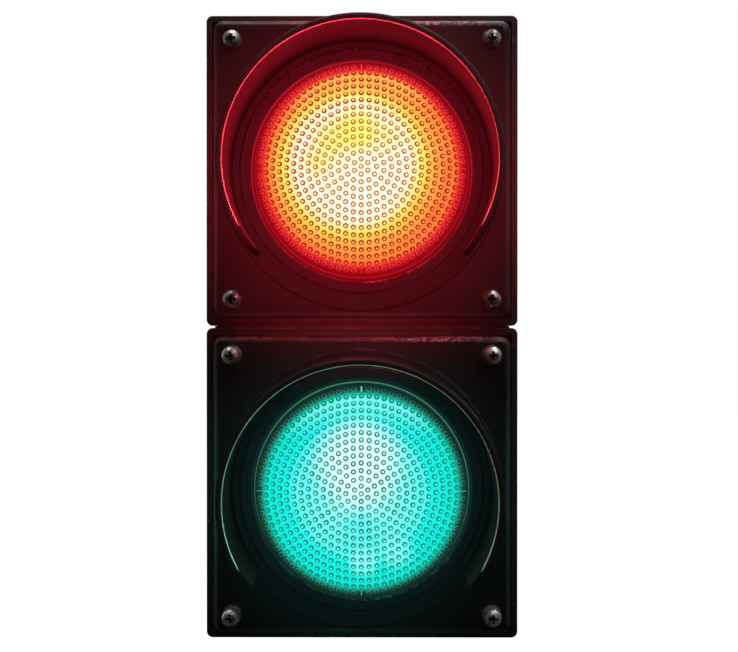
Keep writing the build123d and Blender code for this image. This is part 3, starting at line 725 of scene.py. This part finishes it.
@dataclass(frozen=True)
class LitLens:
    """Coloured lens with the light engine burning behind it; its lit look is painted on its surface as
    emission.
    """

    name: str
    glow: Glow
    centre: Vector
    reach: float = 52.4

    def _radius(self, g: Graph, across: float = 0.0, up: float = 0.0) -> Socket:
        """Distance in millimetres from the lens axis, or from a point beside it.

        Args:
            g: The material's graph.
            across: Millimetres to the right of the axis.
            up: Millimetres above the axis.

        Returns:
            The distance socket.
        """
        middle = (self.centre.x + across * MM, 0.0, self.centre.z + up * MM)
        return g.spoke(g.vector("SUBTRACT", g.coords(), middle), PER_MM)

    def _rise(self, g: Graph, low: float, high: float, start: float, end: float) -> Socket:
        """Maps a span of heights above the axis, in millimetres, onto start to end."""
        height = g.axis(g.coords(), Z)
        return g.span(height, self.centre.z + low * MM, self.centre.z + high * MM, start, end)

    def _by_radius(self, g: Graph, radius: Any, stops: Stops) -> Socket:
        """Colour by distance from the axis, in millimetres."""
        share = g.math("DIVIDE", radius, self.reach)
        return g.ramp(share, [(min(place / self.reach, 1.0), colour) for place, colour in stops])

    def _disc(self, g: Graph, radius: Socket) -> Socket:
        """Colour of the lit disc: rings about the axis, soft patches and a crescent along the top."""
        glow = self.glow
        wobble = g.times(g.math("SUBTRACT", g.noise(g.coords(), 60.0, 2.0), 0.5), 3.0)
        inner = g.span(radius, 38.5, 43.5, 1.0, 0.0)
        drifted = g.math("ADD", self._radius(g, *glow.drift), wobble)
        shown = self._by_radius(g, g.lerp(inner, radius, drifted), glow.rings)
        for across, up, hard, soft, colour in glow.patches:
            mask = g.span(self._radius(g, across, up), hard, soft, 0.9, 0.0)
            shown = g.blend(g.times(mask, inner), shown, colour)
        top = self._rise(g, 24, 42, 0.0, 0.85)
        band = g.times(g.span(radius, 33.0, 39.0), g.span(radius, 43.6, 45.4, 1.0, 0.0))
        return g.blend(g.times(top, band), shown, glow.crescent)

    def colour(self, g: Graph) -> Socket:
        """The colour that the lit lens shows: its disc, and on each bead painted shade and highlight round
        its edge and a painted glint at its crown.
        """
        glow = self.glow
        radius = self._radius(g)
        shown = self._disc(g, radius)
        bead = g.times(g.add("ShaderNodeAttribute", attribute_name="bead").outputs["Fac"], 0.5)
        # Painted shade and highlight round each bead's edge, where a real bead bends the light.
        full = g.levels(bead, [(0.0, 0.0), (0.15, 0.0), (0.23, 0.8), (0.29, 1.0), (0.45, 1.0),
                               (0.51, 0.5), (0.55, 0.0), (1.0, 0.0)])
        thin = g.levels(bead, [(0.0, 0.0), (0.36, 0.0), (0.44, 1.0), (0.5, 1.0), (0.53, 0.0), (1.0, 0.0)])
        ring = g.lerp(g.span(radius, 45.4, 46.8), full, thin)
        # Painted glint at each bead's crown.
        glint_mask = g.levels(bead, [(0.0, 0.45), (0.12, 0.3), (0.18, 0.0), (1.0, 0.0)])
        # Painted highlight on the ticks, brighter towards the top.
        tick_highlight = g.levels(bead, [(0.0, 0.0), (0.6, 0.0), (0.7, 1.0), (0.75, 1.0), (0.85, 0.0), (1.0, 0.0)])
        tick_highlight = g.times(tick_highlight, self._rise(g, 20, 44, 0.3, 1.0))
        outline = self._by_radius(g, radius, glow.bead_edge_lights)
        shift = g.times(g.span(g.noise(g.coords(), 110.0, 1.0), 0.44, 0.62),
                       g.span(radius, 20.0, 32.0, 0.75, 0.0))
        outline = g.blend(shift, outline, glow.bead_edge_shift)
        core = g.times(glint_mask, g.span(radius, 34.0, 46.0, 1.0, 0.1))
        shown = g.blend(core, shown, glow.core)
        shown = g.blend(ring, shown, outline)
        return g.blend(tick_highlight, shown, glow.tick_highlight)

    def material(self) -> bpy.types.Material:
        """Builds the material: what is seen, and the stronger coloured light that it casts."""
        surface = Surface(self.name)
        g = surface.graph
        rough = g.span(g.noise(g.coords(), 60.0), 0.3, 0.7, 0.12, 0.2)
        surface.set(Base_Color=self.glow.body, Roughness=rough, Specular_IOR_Level=0.06,
                    Emission_Color=self.colour(g), Emission_Strength=1.0)
        cast = g.add("ShaderNodeBsdfPrincipled", {
            "Base Color": self.glow.body, "Roughness": 0.3, "Specular IOR Level": 0.3,
            "Emission Color": self.glow.spill, "Emission Strength": self.glow.spill_strength,
        })
        surface.cast(cast)
        return surface.material


BLACK_HOUSING = MouldedPlastic("housing_black", tint(24, 24, 25), tint(70, 68, 70), roughness=0.5,
                               grain_scale=1500.0, wear=0.35, dust=0.3, flecks=0.2, gloss=0.4)
# The covers' pale colour shows both the scuffs and the painted highlight on the bevels; the lower cover's
# side highlight is stronger.
COVERS = {side: BevelledPlastic(f"{side.value}_cover_black", tint(20, 19, 22), tint(122, 170, 178),
                                roughness=0.36, grain_depth=0.000008, wear=0.8, dust=0.3, flecks=0.5,
                                gloss=0.3, node=side.node("cover"), side_sheen=side_sheen)
          for side, side_sheen in ((Section.UPPER, 0.07), (Section.LOWER, 0.14))}
# Each visor's rim colour is a painted reflection of its lens light: grey for the red section, pale green for
# the green one.
VISORS = {side: RimHighlightPlastic(f"{side.value}_visor_black", tint(18, 17, 19), edge, roughness=0.5,
                              grain_scale=1300.0, wear=1.0, dust=0.12, flecks=0.2, gloss=0.22,
                              node=side.node("visor"))
          for side, edge in ((Section.UPPER, grey(160)), (Section.LOWER, tint(208, 222, 204)))}
BLACK_NYLON = MouldedPlastic("nylon_black", tint(30, 30, 31), tint(84, 84, 86), roughness=0.5,
                             grain_scale=1700.0, wear=0.3, dust=0.25, flecks=0.1)
GREY_NYLON = MouldedPlastic("terminal_grey", tint(112, 118, 120), tint(160, 164, 166), roughness=0.5,
                            wear=0.3, dust=0.1, flecks=0.0)
LEAD_SLEEVE = MouldedPlastic("lead_red", tint(150, 20, 18), tint(180, 60, 54), roughness=0.35, wear=0.1,
                             dust=0.1, flecks=0.0)
CABLE_SHEATH = MouldedPlastic("cable_black", tint(34, 34, 36), tint(80, 80, 82), roughness=0.45, wear=0.1,
                              dust=0.2, flecks=0.0)
UPPER_SCREWS = Metal("upper_screw_steel", tint(212, 208, 208), tint(50, 42, 42), roughness=0.34, soil=0.85,
                     heads="upper_cover_screws")
LOWER_SCREWS = Metal("lower_screw_steel", tint(250, 248, 242), tint(66, 60, 56), roughness=0.38, soil=0.7,
                     heads="lower_cover_screws")
# The upper washers are painted darker than the lower ones: painted shade round the screw heads.
WASHERS = {Section.UPPER: Metal("upper_washer_steel_shaded", tint(92, 84, 82), tint(40, 32, 30), roughness=0.5,
                                soil=0.9, purity=0.9),
           Section.LOWER: Metal("lower_washer_steel", tint(158, 156, 152), tint(52, 46, 44), roughness=0.4,
                                soil=0.7)}
INNER_STEEL = Metal("inner_steel", tint(196, 196, 194), tint(120, 116, 110), roughness=0.24, soil=0.25)
INSERT_BRASS = Metal("brass", tint(206, 170, 96), tint(110, 84, 44), roughness=0.28, soil=0.3)
SEAL_RUBBER = Rubber("rubber", tint(26, 26, 27))
BOARD_GREEN = BoardLaminate("board_green", tint(16, 84, 46), tint(36, 124, 70))
BOARD_WHITE = BoardLaminate("board_white", tint(226, 228, 224), tint(206, 208, 204))
DIFFUSER = ClearResin("diffuser_white", tint(236, 236, 230), tint(255, 255, 255), 0.0, 0.42)


def stand(name: str, data: bpy.types.ID) -> bpy.types.Object:
    """Makes an object of the data and puts it in the scene."""
    thing = bpy.data.objects.new(name, data)
    bpy.context.scene.collection.objects.link(thing)
    return thing


def point(thing: bpy.types.Object, place: Sequence[float], aim: Sequence[float]) -> bpy.types.Object:
    """Moves a lamp or camera to a place and turns it to look at its aim."""
    thing.location = place
    thing.rotation_euler = (Vector(aim) - Vector(place)).to_track_quat("-Z", "Y").to_euler()
    return thing


class MeshShop:
    """Turns finished bmeshes into meshes and pieces."""

    @staticmethod
    def mesh(bm: bmesh.types.BMesh, name: str) -> bpy.types.Mesh:
        """Makes a mesh of a bmesh and frees it."""
        mesh = bpy.data.meshes.new(name)
        bm.to_mesh(mesh)
        bm.free()
        return mesh

    @staticmethod
    def piece(bm: bmesh.types.BMesh, name: str, material: bpy.types.Material, body: str,
              slot: str) -> bpy.types.Object:
        """Makes an object from a bmesh.

        Args:
            bm: The shape, already in place; it is freed.
            name: Object name.
            material: Its material.
            body: CAD body that it rides on.
            slot: Not used.

        Returns:
            The new object.
        """
        piece = stand(name, MeshShop.mesh(bm, name))
        piece.data.materials.append(material)
        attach(piece, body)
        return piece

    @staticmethod
    def spin(bm: bmesh.types.BMesh, outline: Sequence[Vector], centre: Vector, steps: int) -> None:
        """Turns an outline about the line through centre that runs front to back.

        Args:
            bm: The bmesh to add to.
            outline: Points in order, the first and the last on the axis.
            centre: A point on the axis.
            steps: Number of steps round.
        """
        verts = [bm.verts.new(point) for point in outline]
        edges = [bm.edges.new((a, b)) for a, b in zip(verts, verts[1:])]
        bmesh.ops.spin(bm, geom=verts + edges, cent=centre, axis=(0.0, 1.0, 0.0), angle=FULL_TURN,
                       steps=steps, use_merge=True)
        bmesh.ops.remove_doubles(bm, verts=bm.verts, dist=1e-6)
        bmesh.ops.recalc_face_normals(bm, faces=bm.faces)


def dress(material: bpy.types.Material, *nodes: str) -> None:
    """Gives CAD nodes a finish.

    Args:
        material: The finish.
        nodes: Node names.
    """
    for name in nodes:
        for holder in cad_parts[name].material_slots:
            holder.material = material
        LOG.info("dressed %s in %s", name, material.name)


@dataclass
class BeadedLens:
    """Domed lens with rings of small round beads over its face."""

    section: Section
    glow: Glow
    body_slot: str
    dome_radius: float = 105.0 * MM
    shoulder_radius: float = 49.6 * MM
    foot_radius: float = 51.9 * MM
    flange_thickness: float = 2.0 * MM
    wall: float = 2.2 * MM
    dome_steps: int = 14
    inner_steps: int = 10
    turn_steps: int = 120
    bead_rings: int = 14
    bead_pitch: float = 3.53 * MM
    bead_radius: float = 1.34 * MM
    bead_sides: int = 12
    bead_profile: tuple[tuple[float, float], ...] = ((1.0, -0.12), (0.86, 0.26), (0.56, 0.50), (0.24, 0.60))
    tick_size: tuple[float, float, float] = (0.5 * MM, 0.7 * MM, 2.6 * MM)
    tick_bevel: float = 0.12 * MM
    plain_mark: float = 2.0
    tick_mark: float = 1.45
    low: Vector = field(init=False)
    high: Vector = field(init=False)

    def __post_init__(self) -> None:
        """Reads the lens node's place from the frame."""
        low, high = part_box(self.section.node("lens"))
        self.low, self.high = Vector(low), Vector(high)

    @property
    def centre(self) -> Vector:
        """Middle of the lens seen from the front."""
        return (self.low + self.high) / 2

    def _dome(self, radius: float, sphere: float, apex: float) -> float:
        """Depth coordinate of a dome surface at a distance from its axis."""
        return apex + sphere - math.sqrt(sphere ** 2 - radius ** 2)

    def _outline(self) -> list[Vector]:
        """Half section of the lens body, from the apex round to its inner face."""
        x, z = self.centre.x, self.centre.z
        apex, back = self.low.y, self.high.y
        flange = (self.high.x - self.low.x) / 2
        inner_sphere = self.dome_radius - self.wall
        points = []
        for i in range(self.dome_steps + 1):
            radius = self.shoulder_radius * 0.985 * i / self.dome_steps
            points.append((radius, self._dome(radius, self.dome_radius, apex)))
        shoulder = self._dome(self.shoulder_radius, self.dome_radius, apex)
        points += [(self.shoulder_radius * 0.997, shoulder + 0.35 * MM),
                   (self.shoulder_radius + 0.05 * MM, shoulder + 1.2 * MM),
                   (self.foot_radius, back - self.flange_thickness),
                   (flange, back - self.flange_thickness), (flange, back),
                   (self.foot_radius - self.wall, back),
                   (self.shoulder_radius - self.wall, shoulder + self.wall)]
        for i in range(self.inner_steps, -1, -1):
            radius = (self.shoulder_radius - self.wall) * 0.97 * i / self.inner_steps
            points.append((radius, self._dome(radius, inner_sphere, apex + self.wall)))
        return [Vector((x + radius, depth, z)) for radius, depth in points]

    def _bead(self) -> bpy.types.Mesh:
        """One bead, its foot at the origin and its crown towards +Z."""
        bm = bmesh.new()
        scale, height = self.bead_profile[0]
        ring = bmesh.ops.create_circle(bm, cap_ends=False, segments=self.bead_sides,
                                       radius=self.bead_radius * scale,
                                       matrix=Matrix.Translation((0.0, 0.0, self.bead_radius * height)))
        edges = list(bm.edges)
        for next_scale, next_height in self.bead_profile[1:]:
            grown = bmesh.ops.extrude_edge_only(bm, edges=edges)["geom"]
            verts = [v for v in grown if isinstance(v, bmesh.types.BMVert)]
            edges = [e for e in grown if isinstance(e, bmesh.types.BMEdge)]
            ratio = next_scale / scale
            bmesh.ops.scale(bm, vec=(ratio, ratio, 1.0), verts=verts)
            bmesh.ops.translate(bm, vec=(0.0, 0.0, self.bead_radius * (next_height - height)), verts=verts)
            scale, height = next_scale, next_height
        bmesh.ops.holes_fill(bm, edges=edges, sides=self.bead_sides)
        bmesh.ops.recalc_face_normals(bm, faces=bm.faces)
        top = max(bm.faces, key=lambda face: face.calc_center_median().z)
        if top.normal.z < 0:
            bmesh.ops.reverse_faces(bm, faces=bm.faces)
        return MeshShop.mesh(bm, "bead")

    def _places(self) -> list[tuple[float, float]]:
        """Tilt from the axis and turn from the top of every bead, the four ticks left out."""
        places = [(0.0, 0.0)]
        for n in range(1, self.bead_rings + 1):
            count = 6 * n
            for k in range(count):
                if n == self.bead_rings and k * 4 % count == 0:
                    continue
                places.append((n * self.bead_pitch / self.dome_radius, k * FULL_TURN / count))
        return places

    def _on_dome(self, tilt: float, turn: float) -> Matrix:
        """Place on the dome: local +Z stands off the surface, local +Y points away from the axis."""
        hub = Vector((self.centre.x, self.low.y + self.dome_radius, self.centre.z))
        to_front = Matrix.Rotation(math.pi / 2, 4, "X")
        swing = Matrix.Rotation(turn, 4, "Y")
        return (Matrix.Translation(hub) @ swing @ to_front @ Matrix.Rotation(-tilt, 4, "X")
                @ Matrix.Translation((0.0, 0.0, self.dome_radius)))

    def _shell(self) -> bmesh.types.BMesh:
        """The plain lens body, its vertices in one unbroken run."""
        bm = bmesh.new()
        MeshShop.spin(bm, self._outline(), self.centre, self.turn_steps)
        mesh = bpy.data.meshes.new("shell")
        bm.to_mesh(mesh)
        bm.clear()
        bm.from_mesh(mesh)
        return bm

    def build(self) -> bpy.types.Object:
        """Builds the lens and stands it in for its CAD node."""
        bm = self._shell()
        plain = len(bm.verts)
        width, height, length = self.tick_size
        size = Matrix.Diagonal((width, length, height, 1.0))
        for quarter in range(4):
            place = self._on_dome(self.bead_rings * self.bead_pitch / self.dome_radius, quarter * math.pi / 2)
            cube = bmesh.ops.create_cube(bm, size=1.0, matrix=place @ size)
            rims = list({edge for vert in cube["verts"] for edge in vert.link_edges})
            bmesh.ops.bevel(bm, geom=rims, offset=self.tick_bevel, offset_type="OFFSET", segments=1,
                            profile=0.5, affect="EDGES", material=-1)
        ticks = len(bm.verts) - plain
        bead = self._bead()
        reach = [math.hypot(v.co.x, v.co.y) / self.bead_radius for v in bead.vertices]
        places = self._places()
        for tilt, turn in places:
            place = self._on_dome(tilt, turn)
            bead.transform(place)
            bm.from_mesh(bead)
            bead.transform(place.inverted())
        for face in bm.faces:
            face.smooth = True
        material = LitLens(f"{self.body_slot}_lit", self.glow, self.centre).material()
        node = self.section.node("lens")
        piece = MeshShop.piece(bm, f"{node}_beaded", material, self.section.node("cover"), self.body_slot)
        marks = piece.data.attributes.new("bead", "FLOAT", "POINT")
        values = [self.plain_mark] * plain + [self.tick_mark] * ticks + reach * len(places)
        marks.data.foreach_set("value", values)
        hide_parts(node)
        LOG.info("built %s with %d beads", piece.name, len(places))
        return piece


class FinishStore:
    """Builds each finish once and hands it out."""

    def __init__(self) -> None:
        """Starts empty."""
        self._made: dict[Any, bpy.types.Material] = {}

    def get(self, finish: Any) -> bpy.types.Material:
        """The material of a finish."""
        if finish not in self._made:
            self._made[finish] = finish.material()
        return self._made[finish]


FINISHES = FinishStore()


@dataclass
class SignalSection:
    """One section of the head: housing, cover, visor, lens and all that they hold."""

    section: Section
    glow: Glow
    lens_slot: str

    def build(self) -> None:
        """Builds the lens and dresses every CAD node of the section."""
        BeadedLens(self.section, self.glow, self.lens_slot).build()
        shell = {
            BLACK_HOUSING: ["housing"], COVERS[self.section]: ["cover"], VISORS[self.section]: ["visor"],
            BLACK_NYLON: ["lens_retainer"], WASHERS[self.section]: ["cover_washers"],
            UPPER_SCREWS if self.section is Section.UPPER else LOWER_SCREWS: ["cover_screws"],
            INNER_STEEL: ["retainer_screws", "board_spacers", "board_screws", "terminal_screws"],
            SEAL_RUBBER: ["gasket", "lens_seal"], BOARD_GREEN: ["driver_board"],
            BOARD_WHITE: ["led_board"], DIFFUSER: ["diffuser"], GREY_NYLON: ["terminal_block"],
            LEAD_SLEEVE: ["led_leads"], INSERT_BRASS: ["mounting_inserts"],
        }
        for finish, parts in shell.items():
            dress(FINISHES.get(finish), *[self.section.node(part) for part in parts])
        low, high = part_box(self.section.node("driver_board"))
        parts = BoardComponents(f"{self.section.value}_components", (low[2] + high[2]) / 2)
        dress(parts.material(), self.section.node("driver_components"))
        lamps = ClearResin(f"{self.section.value}_leds", self.glow.core, self.glow.spill, 1.5, 0.1)
        dress(lamps.material(), self.section.node("leds"))


class CommonParts:
    """Coupling, plugs, cable gland and link cable."""

    def build(self) -> None:
        """Dresses the parts that belong to neither section alone."""
        plan = {
            INNER_STEEL: ["coupling_nipple", "coupling_washers", "coupling_nuts", "bottom_plug_nut",
                          "top_plug_nut"],
            BLACK_NYLON: ["coupling_spacer", "gland_body", "gland_locknut", "gland_nut", "bottom_plug",
                          "top_plug"],
            SEAL_RUBBER: ["coupling_seals", "gland_washer", "gland_seal", "bottom_plug_seal",
                          "top_plug_seal"],
            CABLE_SHEATH: ["lower_link_cable", "upper_link_cable"],
        }
        for finish, nodes in plan.items():
            dress(FINISHES.get(finish), *nodes)


@dataclass(frozen=True)
class SoftBox:
    """A rectangular soft light, its size in metres and its power in watts."""

    name: str
    place: tuple[float, float, float]
    size: tuple[float, float]
    power: float
    colour: tuple[float, float, float] = (1.0, 1.0, 1.0)

    def hang(self, aim: Sequence[float]) -> bpy.types.Object:
        """Adds the light.

        Args:
            aim: What it points at.

        Returns:
            The light.
        """
        data = bpy.data.lights.new(self.name, "AREA")
        data.shape = "RECTANGLE"
        data.size, data.size_y = self.size
        data.energy, data.color = self.power, self.colour
        return point(stand(self.name, data), self.place, aim)


@dataclass(frozen=True)
class Haze:
    """Stray light of a lit lens: watts over the whole front, watts of the spot about it, and its degrees."""

    section: Section
    colour: tuple[float, float, float]
    wide: float
    near: float
    cone: float


ROOM_LIGHTS = [
    SoftBox("over", (0.1, -0.12, 1.1), (0.9, 0.5), 5.4),
    SoftBox("right", (1.0, 0.1, 0.35), (0.4, 0.9), 0.4),
    SoftBox("left", (-1.0, 0.1, 0.25), (0.3, 0.9), 0.4),
    SoftBox("behind", (0.2, 1.2, 0.6), (1.0, 0.8), 7.0),
]
GLEAM = SoftBox("gleam", (0.45, -0.75, 0.75), (0.5, 0.4), 2.2)
HAZES = [
    Haze(Section.UPPER, (1.0, 0.03, 0.06), wide=0.24, near=50.0, cone=45.0),
    Haze(Section.LOWER, (0.12, 1.0, 0.8), wide=0.055, near=7.0, cone=37.0),
]


@dataclass
class Studio:
    """Pale floor, soft lights and the camera."""

    floor_drop: float = 0.34
    floor_radius: float = 7.0
    camera_place: tuple[float, float, float] = (0.00805, -0.8065, 0.0806)
    camera_aim: tuple[float, float, float] = (0.0034, -0.058, 0.0770)
    camera_lens: float = 75.73
    camera_sensor: float = 36.0
    middle: tuple[float, float, float] = (0.0, -0.04, 0.075)

    def _floor(self) -> None:
        """Large round pale floor below the head."""
        bm = bmesh.new()
        level = float(CAD_BOX[0][2]) - self.floor_drop
        bmesh.ops.create_circle(bm, cap_ends=True, segments=96, radius=self.floor_radius,
                                matrix=Matrix.Translation((0.0, 0.0, level)))
        floor = stand("floor", MeshShop.mesh(bm, "floor"))
        surface = Surface("floor_pale")
        g = surface.graph
        cloud = g.noise(g.coords(), 3.0)
        surface.set(Base_Color=g.blend(cloud, grey(236), grey(244)), Roughness=0.8,
                    Emission_Color=g.blend(cloud, grey(250), grey(252)), Emission_Strength=1.0,
                    Specular_IOR_Level=0.0)
        surface.cast(g.add("ShaderNodeBsdfDiffuse", {"Color": grey(70)}))
        floor.data.materials.append(surface.material)

    def _sky(self) -> None:
        """White surroundings for the eye, and a dim soft room for the light."""
        world = bpy.data.worlds.new("room")
        world.use_nodes = True
        world.node_tree.nodes.clear()
        g = Graph(world.node_tree)
        way = g.add("ShaderNodeTexCoord").outputs["Generated"]
        room = g.ramp(g.span(g.axis(way, Z), -0.2, 1.0), [(0.0, grey(10)), (0.5, grey(30)), (1.0, grey(140))])
        seen = g.add("ShaderNodeLightPath").outputs["Is Camera Ray"]
        colour = g.blend(seen, room, grey(255))
        back = g.add("ShaderNodeBackground", {"Color": colour, "Strength": 1.0})
        g.add("ShaderNodeOutputWorld", {0: back.outputs[0]})
        bpy.context.scene.world = world

    def _haze(self, haze: Haze) -> None:
        """Coloured light that a lit lens throws back on its own section.

        Args:
            haze: Its section, colour and powers.
        """
        side = haze.section.value
        low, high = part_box(haze.section.node("lens"))
        aim = (0.0, 0.0, (low[2] + high[2]) / 2)
        place = (-0.01, low[1] - 0.22, aim[2] - 0.01)
        soft = SoftBox(f"{side}_haze", place, (0.12, 0.12), haze.wide, haze.colour).hang(aim)
        data = bpy.data.lights.new(f"{side}_ring", "SPOT")
        data.energy, data.color = haze.near, haze.colour
        data.spot_size, data.spot_blend = math.radians(haze.cone), 1.0
        data.shadow_soft_size = 0.02
        ring = point(stand(f"{side}_ring", data), place, aim)
        for lamp in (soft, ring):
            lamp.data.use_shadow = False
            lamp.visible_camera = False
            lamp.visible_glossy = False
            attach(lamp, haze.section.node("cover"))

    def _camera(self) -> None:
        """Camera in front of the head."""
        data = bpy.data.cameras.new("camera")
        data.lens = self.camera_lens
        data.sensor_width = self.camera_sensor
        bpy.context.scene.camera = point(stand("camera", data), self.camera_place, self.camera_aim)

    def build(self) -> None:
        """Builds the whole studio."""
        self._camera()
        self._floor()
        self._sky()
        for box in ROOM_LIGHTS:
            box.hang(self.middle)
        GLEAM.hang(self.middle).visible_diffuse = False
        for haze in HAZES:
            self._haze(haze)
        bpy.context.scene.view_settings.view_transform = "Standard"


def main() -> None:
    """Builds the studio and the signal head."""
    logging.basicConfig(level=logging.INFO, format="%(name)s: %(message)s")
    Studio().build()
    SignalSection(Section.UPPER, RED_GLOW, "lens_red").build()
    SignalSection(Section.LOWER, GREEN_GLOW, "lens_green").build()
    CommonParts().build()
    bpy.context.view_layer.update()


if __name__ == "__main__":
    main()
